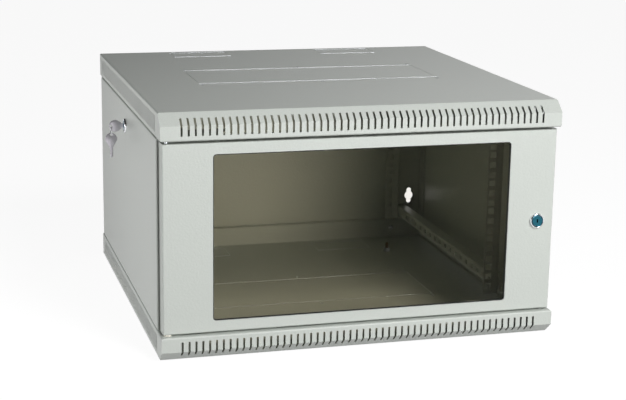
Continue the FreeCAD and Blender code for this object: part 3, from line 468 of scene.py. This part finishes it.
# earth terminal: stud welded to the floor with its thread, washer and nut
earth = {"radius": 3.0 * mm, "pitch": 1.0 * mm, "plain": 4.1 * mm, "threadFrom": 4.4 * mm,
         "threadEnd": 1.2 * mm, "point": 1.0 * mm, "pointShare": 0.6, "bore": 3.1 * mm,
         "washerEdge": 0.25 * mm, "nutFlat": 10 * mm, "steps": 24, "washerSteps": 32}


def threaded(radius, start, end, pitch):
    points = []
    for turn in range(int((end - start) / pitch)):
        points += [(radius * thread["studRoot"], start + pitch * turn),
                   (radius, start + pitch * (turn + 0.5))]
    return points


def makeEarth():
    low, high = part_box("earth_stud")
    centre = Vector(((low.x + high.x) / 2, (low.y + high.y) / 2, 0))
    tall = high.z
    radius = earth["radius"]
    bm = bmesh.new()
    lathe(bm, [(0, 0), (radius, 0), (radius, earth["plain"])]
          + threaded(radius, earth["threadFrom"], tall - earth["threadEnd"], earth["pitch"])
          + [(radius * thread["studRoot"], tall - earth["point"]),
             (radius * earth["pointShare"], tall), (0, tall)], earth["steps"])
    bmesh.ops.translate(bm, vec=centre, verts=bm.verts)
    finishPiece("earthStud", bm, copperPlate, "cabinet", ["earth_stud"])

    low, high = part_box("earth_washer")
    bm = washer(earth["bore"], (high.x - low.x) / 2, earth["washerEdge"], low.z, high.z,
                earth["washerSteps"])
    bmesh.ops.translate(bm, vec=centre, verts=bm.verts)
    finishPiece("earthWasher", bm, zincPlate, "cabinet", ["earth_washer"])

    low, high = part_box("earth_nut")
    bm = hexNut(earth["nutFlat"], high.z - low.z, radius)
    bmesh.ops.translate(bm, vec=centre + Vector((0, 0, low.z)), verts=bm.verts)
    finishPiece("earthNut", bm, zincPlate, "cabinet", ["earth_nut"])


makeEarth()
print("earth terminal made")

# cam lock: die-cast body with a dished collar and two flats, hex nut and cam screw
# the edges of collar and rim are rows of inset from their radius and share of the height
camLock = {"collar": 11.2 * mm, "collarHeight": 3.5 * mm, "barrel": 9.6 * mm, "flat": 8.9 * mm,
           "flatFrom": 0.1 * mm, "bore": 7.85 * mm, "rimRadius": 9.9 * mm, "dish": 1.9 * mm,
           "pitch": 1.2 * mm,
           "collarEdge": [(0, 0), (0, 0.5), (0.25 * mm, 0.78), (0.75 * mm, 0.95)],
           "rimEdge": [(0, 1.0), (0.35 * mm, 0.96), (0.7 * mm, 0.82)],
           "dishSlope": 0.45 * mm, "dishStep": 0.1 * mm, "neck": 0.4 * mm, "threadEnd": 1.0 * mm,
           "root": 0.985, "lead": 0.97, "nutFlat": 24 * mm, "nutHeight": 3.5 * mm, "steps": 64}
camScrew = {"headRadius": 5.2 * mm, "headHeight": 2.4 * mm, "shankRadius": 1.9 * mm,
            "pitch": 0.7 * mm}


def lockFrame(node):
    # turns a lock that stands on Z so that its collar faces outwards
    low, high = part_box(node)
    centre = (low + high) / 2
    if node.startswith("door"):
        face = (centre.x, low.y + camLock["collarHeight"], centre.z)
        return Matrix.Translation(face) @ Matrix((
            (-1, 0, 0, 0), (0, 0, -1, 0), (0, -1, 0, 0), (0, 0, 0, 1)))
    side = 1 if centre.x > 0 else -1
    outermost = high.x if side > 0 else low.x
    face = (outermost - side * camLock["collarHeight"], centre.y, centre.z)
    return Matrix.Translation(face) @ Matrix((
        (0, 0, side, 0), (-side, 0, 0, 0), (0, -1, 0, 0), (0, 0, 0, 1)))


def lockProfile(behind):
    tall = camLock["collarHeight"]
    barrel = camLock["barrel"]
    bore = camLock["bore"]
    turns = range(1, int(2 * (behind - camLock["threadEnd"]) / camLock["pitch"]))
    cut = [(barrel * (camLock["root"] if step % 2 else 1.0), -behind + camLock["pitch"] * step / 2)
           for step in turns]
    front = [(barrel, -camLock["neck"]), (barrel, 0)]
    front += [(camLock["collar"] - inset, tall * share) for inset, share in camLock["collarEdge"]]
    front += [(camLock["rimRadius"] - inset, tall * share) for inset, share in camLock["rimEdge"]]
    front += [(bore + camLock["dishSlope"], tall - camLock["dish"]),
              (bore, tall - camLock["dish"] - camLock["dishStep"])]
    end = (bore, -behind)
    return [end, (barrel * camLock["lead"], -behind)] + cut + front + [end]


def makeLockBody(place, carrier):
    node = place + "_lock_body"
    low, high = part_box(node)
    span = high.y - low.y if place == "door" else high.x - low.x
    bm = bmesh.new()
    lathe(bm, lockProfile(span - camLock["collarHeight"]), camLock["steps"])
    # two flats on the barrel keep it from turning in its hole
    for vert in bm.verts:
        if vert.co.z < -camLock["flatFrom"]:
            vert.co.y = max(-camLock["flat"], min(camLock["flat"], vert.co.y))
    bmesh.ops.transform(bm, matrix=lockFrame(node), verts=bm.verts)
    finishPiece(place + "LockBody", bm, chromePlate, carrier, [node])


def makeLockNut(place, carrier):
    node = place + "_lock_nut"
    low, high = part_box(node)
    centre = (low + high) / 2
    bm = hexNut(camLock["nutFlat"], camLock["nutHeight"], camLock["barrel"])
    axis = (0, 1, 0) if place == "door" else (1, 0, 0)
    foot = centre - Vector(axis) * camLock["nutHeight"] / 2
    bmesh.ops.transform(bm, matrix=turned(foot, axis), verts=bm.verts)
    finishPiece(place + "LockNut", bm, zincPlate, carrier, [node])


def makeCamScrew(place, outwards):
    node = place + "_cam_screw"
    seat, length = seatOf(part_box(node), Vector(outwards), camScrew["headHeight"])
    bm = domedScrew(camScrew, length)
    bmesh.ops.transform(bm, matrix=turned(seat, outwards), verts=bm.verts)
    finishPiece(place + "CamScrew", bm, zincPlate, place + "_lock", [node])


lockCarriers = {"door": "door", "left": "left_panel", "right": "right_panel"}
# the cam screw goes in from inside and points the way the lock faces
lockFacing = {"door": (0, -1, 0), "left": (-1, 0, 0), "right": (1, 0, 0)}
for place, carrier in lockCarriers.items():
    makeLockBody(place, carrier)
for place, carrier in lockCarriers.items():
    makeLockNut(place, carrier)
for place, outwards in lockFacing.items():
    makeCamScrew(place, outwards)
print("locks made")

# hinge pins turned with a lead-in, the spring pin with its collar and lever, nylon washer
pin = {"radius": 2.5 * mm, "collar": 4.0 * mm, "collarHeight": 2.0 * mm, "collarDrop": 0.3 * mm,
       "chamfer": 0.3 * mm, "nose": 0.9 * mm, "lead": 0.8 * mm, "lever": 2.0 * mm,
       "leverNose": 0.6 * mm, "leverRound": 0.2 * mm, "washerEdge": 0.35 * mm, "clear": 0.08 * mm,
       "steps": 32, "leverSteps": 24, "washerSteps": 40}


def pinNose(top):
    # lead-in of a pin that ends upwards at this height
    radius = pin["radius"]
    return [(radius, top - pin["lead"]), (radius - pin["chamfer"], top - pin["chamfer"]),
            (radius - pin["nose"], top), (0, top)]


def makeSpringPin():
    low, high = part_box("top_hinge_pin")
    springLow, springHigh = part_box("top_pin_spring")
    centre = (springLow + springHigh) / 2
    foot = springHigh.z + pin["collarDrop"]
    top = foot + pin["collarHeight"]
    radius, collar, chamfer = pin["radius"], pin["collar"], pin["chamfer"]
    bm = bmesh.new()
    lathe(bm, [(0, low.z), (radius, low.z), (radius, foot), (collar - chamfer, foot),
               (collar, foot + chamfer), (collar, top - chamfer), (collar - chamfer, top),
               (radius, top)] + pinNose(high.z), pin["steps"])
    bmesh.ops.translate(bm, vec=(centre.x, centre.y, 0), verts=bm.verts)
    lever = bmesh.new()
    reach = high.x - centre.x
    tip = pin["lever"]
    lathe(lever, [(0, 0), (tip, 0), (tip, reach - pin["leverNose"]),
                  (tip - pin["leverRound"], reach - pin["leverRound"]),
                  (tip - pin["leverNose"], reach), (0, reach)], pin["leverSteps"])
    copyInto(bm, lever, turned((centre.x, centre.y, low.z + tip), (1, 0, 0)))
    lever.free()
    finishPiece("topHingePin", bm, zincPlate, "spring_pin", ["top_hinge_pin"])


def makeLowerHinge():
    low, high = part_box("bottom_hinge_pin")
    centre = (low + high) / 2
    bm = bmesh.new()
    # the same nose, upside down
    nose = [(radius, low.z - height) for radius, height in reversed(pinNose(0))]
    lathe(bm, nose + [(pin["radius"], high.z), (0, high.z)], pin["steps"])
    bmesh.ops.translate(bm, vec=(centre.x, centre.y, 0), verts=bm.verts)
    finishPiece("bottomHingePin", bm, zincPlate, "door", ["bottom_hinge_pin"])

    low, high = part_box("hinge_washer")
    centre = (low + high) / 2
    bm = washer(pin["radius"] + pin["clear"], (high.x - low.x) / 2, pin["washerEdge"],
                low.z, high.z, pin["washerSteps"])
    bmesh.ops.translate(bm, vec=(centre.x, centre.y, 0), verts=bm.verts)
    finishPiece("hingeWasher", bm, nylonBody, "door", ["hinge_washer"])


makeSpringPin()
makeLowerHinge()
print("hinge pins made")

# flat keys pressed from sheet: round bow with a ring hole, shoulders, cut blade
# lengths along the blade are measured from the middle of the bow
keyShape = {"bow": 9.2 * mm, "bowFrom": -32, "bowSweep": 244, "bowSteps": 40, "sheet": 1.8 * mm,
            "neck": 11 * mm, "shoulder": 3.7 * mm, "stop": 12.6 * mm, "bladeFrom": 13 * mm,
            "blade": 2.5 * mm, "length": 29.8 * mm, "point": 2.4 * mm, "pointShare": 0.3,
            "hole": 1.95 * mm, "holeOut": 6.2 * mm, "holeSteps": 20, "edge": 0.22 * mm,
            "edgeSteps": 2, "sharpAngle": 1.0, "flatWithin": 0.01 * mm}
# depth of each cut, with its flat and its ridge measured from where the cut begins
keyCuts = {"depths": [0.9 * mm, 0.3 * mm, 1.3 * mm, 0.6 * mm, 1.0 * mm], "from": 2.2 * mm,
           "pitch": 2.4 * mm, "flat": (0.6 * mm, 1.2 * mm), "ridge": 1.9 * mm, "worn": 0.15 * mm}


def keyOutline():
    bow, blade, shoulder = keyShape["bow"], keyShape["blade"], keyShape["shoulder"]
    neck, stop, start = -keyShape["neck"], -keyShape["stop"], -keyShape["bladeFrom"]
    end = -keyShape["length"]
    tip = blade * keyShape["pointShare"]
    points = []
    for step in range(keyShape["bowSteps"] + 1):
        along = keyShape["bowSweep"] * step / keyShape["bowSteps"]
        angle = math.radians(keyShape["bowFrom"] + along)
        points.append((bow * math.cos(angle), bow * math.sin(angle)))
    points += [(-shoulder, neck), (-shoulder, stop), (-blade, start),
               (-blade, end + keyShape["point"]), (-tip, end), (tip, end)]
    for index, depth in enumerate(keyCuts["depths"]):
        base = end + keyCuts["from"] + keyCuts["pitch"] * index
        points += [(blade - depth, base + place) for place in keyCuts["flat"]]
        points.append((blade - keyCuts["worn"], base + keyCuts["ridge"]))
    return points + [(blade, start), (shoulder, stop), (shoulder, neck)]


def keyBody():
    bm = bmesh.new()
    outline = [bm.verts.new((0, y, z)) for y, z in keyOutline()]
    rim = [bm.edges.new((outline[index - 1], outline[index])) for index in range(len(outline))]
    turn = Matrix.Rotation(math.pi / 2, 4, "Y")
    hole = bmesh.ops.create_circle(bm, segments=keyShape["holeSteps"], radius=keyShape["hole"],
                                   matrix=Matrix.Translation((0, 0, keyShape["holeOut"])) @ turn)
    rim += list({edge for vert in hole["verts"] for edge in vert.link_edges})
    bmesh.ops.triangle_fill(bm, use_beauty=True, use_dissolve=False, edges=rim)
    bmesh.ops.translate(bm, vec=(-keyShape["sheet"] / 2, 0, 0), verts=bm.verts)
    made = bmesh.ops.extrude_face_region(bm, geom=bm.faces[:])
    lifted = [item for item in made["geom"] if isinstance(item, bmesh.types.BMVert)]
    bmesh.ops.translate(bm, vec=(keyShape["sheet"], 0, 0), verts=lifted)
    bmesh.ops.recalc_face_normals(bm, faces=bm.faces)
    # only the edges round both flat sides and the ring hole are broken
    sharp = [edge for edge in bm.edges
             if edge.is_manifold and edge.calc_face_angle() > keyShape["sharpAngle"]
             and abs(edge.verts[0].co.x - edge.verts[1].co.x) < keyShape["flatWithin"]]
    bmesh.ops.bevel(bm, geom=sharp, offset=keyShape["edge"], offset_type="OFFSET", affect="EDGES",
                    segments=keyShape["edgeSteps"], profile=0.5, material=-1)
    return bm


def addKeys():
    low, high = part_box("lock_key")
    middle = (low + high) / 2
    middle.x = low.x + keyShape["bow"]
    bm = keyBody()
    # the bow stands upright and the blade points into the lock
    intoLock = Matrix(((0, 0, -1, 0), (-1, 0, 0, 0), (0, 1, 0, 0), (0, 0, 0, 1)))
    bmesh.ops.transform(bm, matrix=Matrix.Translation(middle) @ intoLock, verts=bm.verts)
    finishPiece("lockKey", bm, keyFinish, "left_lock", ["lock_key"])

    low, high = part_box("spare_key")
    middle = (low + high) / 2
    middle.z = high.z - keyShape["bow"]
    bm = keyBody()
    # hangs from the ring with its flat sides to the front and the back
    flatToFront = Matrix(((0, -1, 0, 0), (1, 0, 0, 0), (0, 0, 1, 0), (0, 0, 0, 1)))
    bmesh.ops.transform(bm, matrix=Matrix.Translation(middle) @ flatToFront, verts=bm.verts)
    finishPiece("spareKey", bm, keyFinish, "hanging_key", ["spare_key"])


addKeys()
print("keys made")


# edges raised by the punch along the cross cuts of the knock-outs and round the fan holes,
# where the paint is rubbed off the zinc
# they are drawn twice as thick as the real 0.3 mm, which would not show
burr = {"tall": 0.45 * mm, "thick": 0.65 * mm, "sunk": 0.05 * mm, "slope": 0.6,
        "rimTall": 0.3 * mm, "rimFlat": 0.25 * mm, "rimWide": 0.9 * mm, "rimSteps": 20}
# these follow the cuts in the covers
covers = {"sheet": 1.2 * mm, "cut": 0.8 * mm, "tie": 3.0 * mm, "top": 361.0 * mm,
          "roofMiddle": 15.0 * mm, "floorMiddle": 2.0 * mm}
fanBlank = {"x": 388.0 * mm, "y": 129.0 * mm, "tie": 97.0 * mm, "holeX": 191.5 * mm,
            "holeY": 75.0 * mm, "hole": 2.2 * mm}
cableBlank = {"x": 98.0 * mm, "y": 49.0 * mm, "offset": 131.0 * mm, "rear": 281.5 * mm, "tie": 0.0}


def addRidge(bm, start, end, y, z):
    middle = Vector(((start + end) / 2, y + (covers["cut"] + burr["thick"]) / 2,
                     z + burr["tall"] / 2 - burr["sunk"]))
    size = (end - start, burr["thick"], burr["tall"] + 2 * burr["sunk"], 1)
    made = bmesh.ops.create_cube(bm, size=1.0,
                                 matrix=Matrix.Translation(middle) @ Matrix.Diagonal(size))
    # the far upper edge leans in, so that the ridge falls off behind
    for vert in made["verts"]:
        if vert.co.z > middle.z and vert.co.y > middle.y:
            vert.co.y -= burr["thick"] * burr["slope"]


def addBlankRidges(bm, blank, centreX, centreY, z):
    # one run between each pair of ties, before and behind the blank
    half = blank["x"] / 2 + covers["cut"] / 2
    gap = covers["tie"] / 2
    tie = blank["tie"]
    for y in (centreY - blank["y"] / 2, centreY + blank["y"] / 2):
        for start, end in ((-half, -tie - gap), (gap - tie, tie - gap), (tie + gap, half)):
            if end > start:
                addRidge(bm, centreX + start, centreX + end, y, z)


def addHoleRim(bm, x, y, z):
    rim = bmesh.new()
    hole = fanBlank["hole"]
    lathe(rim, [(hole, 0), (hole, burr["rimTall"]), (hole + burr["rimFlat"], burr["rimTall"]),
                (hole + burr["rimWide"], 0)], burr["rimSteps"])
    copyInto(bm, rim, Matrix.Translation((x, y, z)))
    rim.free()


def makeBurrs(name, middle, z):
    bm = bmesh.new()
    addBlankRidges(bm, fanBlank, 0, middle, z)
    for side in (-1, 1):
        addBlankRidges(bm, cableBlank, side * cableBlank["offset"],
                       cableBlank["rear"] - cableBlank["y"] / 2, z)
        for x in (-fanBlank["holeX"], 0, fanBlank["holeX"]):
            addHoleRim(bm, x, middle + side * fanBlank["holeY"], z)
    finishPiece(name, bm, zincPlate, "cabinet", None, smooth=False)


makeBurrs("roofPunchEdges", covers["roofMiddle"], covers["top"])
makeBurrs("floorPunchEdges", covers["floorMiddle"], covers["sheet"])
print("punched edges made")


# stage, lamps and camera

stage = {"radius": 9.0, "segments": 96, "lit": "#9a9a9a", "seen": "#6a6a6a", "glow": 0.93}
# the world is white round the horizon, up to a share of the height, and its ceiling is dark;
# it is dimmer on the left, away from the large softboxes
room = {"ambient": 0.025, "whiteTo": 0.35, "darkFrom": 0.6, "ceiling": 0.03, "dimTo": 0.05,
        "brightFrom": 0.45, "dimSide": 0.2}


def seenAsBackground(tree):
    # 1 for what the camera sees, also by way of metal and glass, and 0 for light on things
    path = addNode(tree, "ShaderNodeLightPath", {}, {})
    through = addNode(tree, "ShaderNodeMath", {"operation": "MAXIMUM"}, {
        0: path.outputs["Is Camera Ray"], 1: path.outputs["Is Transmission Ray"]})
    mirrored = addNode(tree, "ShaderNodeMath", {"operation": "MAXIMUM"}, {
        0: through.outputs[0], 1: path.outputs["Is Glossy Ray"]})
    direct = addNode(tree, "ShaderNodeMath", {"operation": "LESS_THAN"}, {
        0: path.outputs["Diffuse Depth"], 1: 0.5})
    return addNode(tree, "ShaderNodeMath", {"operation": "MULTIPLY"}, {
        0: mirrored.outputs[0], 1: direct.outputs[0]}).outputs[0]


def makeStage():
    floor = bpy.data.meshes.new("floor")
    bm = bmesh.new()
    bmesh.ops.create_circle(bm, cap_ends=True, segments=stage["segments"],
                            radius=stage["radius"])
    bm.to_mesh(floor)
    bm.free()
    piece = bpy.data.objects.new("floor", floor)
    bpy.context.scene.collection.objects.link(piece)
    material = bpy.data.materials.new("studio floor, matt white")
    material.use_nodes = True
    tree = material.node_tree
    tree.nodes.clear()
    seen = seenAsBackground(tree)
    matt = addNode(tree, "ShaderNodeBsdfDiffuse", {}, {"Color": linear(stage["lit"])})
    # what is seen of the floor glows, and its faint share still shows the shadow
    faint = addNode(tree, "ShaderNodeBsdfDiffuse", {}, {"Color": linear(stage["seen"])})
    glow = addNode(tree, "ShaderNodeEmission", {}, {
        "Color": (1, 1, 1, 1), "Strength": stage["glow"]})
    both = addNode(tree, "ShaderNodeAddShader", {}, {0: faint.outputs[0], 1: glow.outputs[0]})
    mix = addNode(tree, "ShaderNodeMixShader", {}, {
        0: seen, 1: matt.outputs[0], 2: both.outputs[0]})
    addNode(tree, "ShaderNodeOutputMaterial", {}, {"Surface": mix.outputs[0]})
    floor.materials.append(material)


def makeWorld():
    world = bpy.data.worlds.new("studio")
    bpy.context.scene.world = world
    world.use_nodes = True
    tree = world.node_tree
    tree.nodes.clear()
    seen = seenAsBackground(tree)
    path = addNode(tree, "ShaderNodeLightPath", {}, {})
    direction = addNode(tree, "ShaderNodeTexCoord", {}, {})
    parts = addNode(tree, "ShaderNodeSeparateXYZ", {}, {"Vector": direction.outputs["Generated"]})
    height = addNode(tree, "ShaderNodeMapRange", {"interpolation_type": "SMOOTHSTEP"}, {
        "Value": parts.outputs["Z"], "From Min": room["whiteTo"], "From Max": room["darkFrom"],
        "To Min": 1.0, "To Max": room["ceiling"]})
    side = addNode(tree, "ShaderNodeMapRange", {"interpolation_type": "SMOOTHSTEP"}, {
        "Value": parts.outputs["X"], "From Min": room["dimTo"], "From Max": room["brightFrom"],
        "To Min": room["dimSide"], "To Max": 1.0})
    level = addNode(tree, "ShaderNodeMath", {"operation": "MULTIPLY"}, {
        0: height.outputs["Result"], 1: side.outputs["Result"]})
    shown = addNode(tree, "ShaderNodeMath", {"operation": "MAXIMUM"}, {
        0: level.outputs[0], 1: path.outputs["Is Camera Ray"]})
    soft = addNode(tree, "ShaderNodeBackground", {}, {
        "Color": (1, 1, 1, 1), "Strength": room["ambient"]})
    white = addNode(tree, "ShaderNodeBackground", {}, {
        "Color": (1, 1, 1, 1), "Strength": shown.outputs[0]})
    mix = addNode(tree, "ShaderNodeMixShader", {}, {
        0: seen, 1: soft.outputs[0], 2: white.outputs[0]})
    addNode(tree, "ShaderNodeOutputWorld", {}, {"Surface": mix.outputs[0]})


def addLamp(name, place, aim, size, power):
    lamp = bpy.data.lights.new(name, "AREA")
    lamp.shape = "ELLIPSE"
    lamp.size, lamp.size_y = size
    lamp.energy = power
    holder = bpy.data.objects.new(name, lamp)
    bpy.context.scene.collection.objects.link(holder)
    holder.location = place
    holder.rotation_euler = (Vector(aim) - Vector(place)).to_track_quat("-Z", "Y").to_euler()


# two softboxes stand before the cabinet on the right, a low one and a high one, and two small
# ones fill the left side and the roof
lampRig = {
    "lowSoftbox": {"place": (0.86, -3.47, 0.65), "aim": (0, 0, 0.15), "size": (1.3, 1.3),
                   "power": 47},
    "highSoftbox": {"place": (0.82, -2.38, 2.12), "aim": (0, 0, 0.15), "size": (1.1, 1.1),
                    "power": 53},
    "sideSoftbox": {"place": (-1.35, -0.20, 0.30), "aim": (-0.3, -0.25, 0.05),
                    "size": (0.5, 0.5), "power": 4.8},
    "roofSoftbox": {"place": (1.05, 0.1, 1.4), "aim": (0.15, 0, 0.35), "size": (0.5, 0.5),
                    "power": 0.8},
}
view = {"place": (-0.649, -2.3024, 0.738), "azimuth": 15.85, "pitch": -13.70, "roll": 0.92,
        "lens": 86.4, "sensor": 36.0}


def makeCamera():
    camera = bpy.data.cameras.new("camera")
    camera.sensor_width = view["sensor"]
    camera.lens = view["lens"]
    holder = bpy.data.objects.new("camera", camera)
    bpy.context.scene.collection.objects.link(holder)
    azimuth = math.radians(view["azimuth"])
    pitch = math.radians(view["pitch"])
    ahead = Vector((math.sin(azimuth) * math.cos(pitch), math.cos(azimuth) * math.cos(pitch),
                    math.sin(pitch)))
    turn = ahead.to_track_quat("-Z", "Y").to_matrix().to_4x4()
    holder.matrix_world = (Matrix.Translation(view["place"]) @ turn
                           @ Matrix.Rotation(math.radians(view["roll"]), 4, "Z"))
    bpy.context.scene.camera = holder


makeStage()
makeWorld()
for name, lamp in lampRig.items():
    addLamp(name, lamp["place"], lamp["aim"], lamp["size"], lamp["power"])
makeCamera()
bpy.context.scene.view_settings.view_transform = "Standard"
print("stage, lamps and camera made")
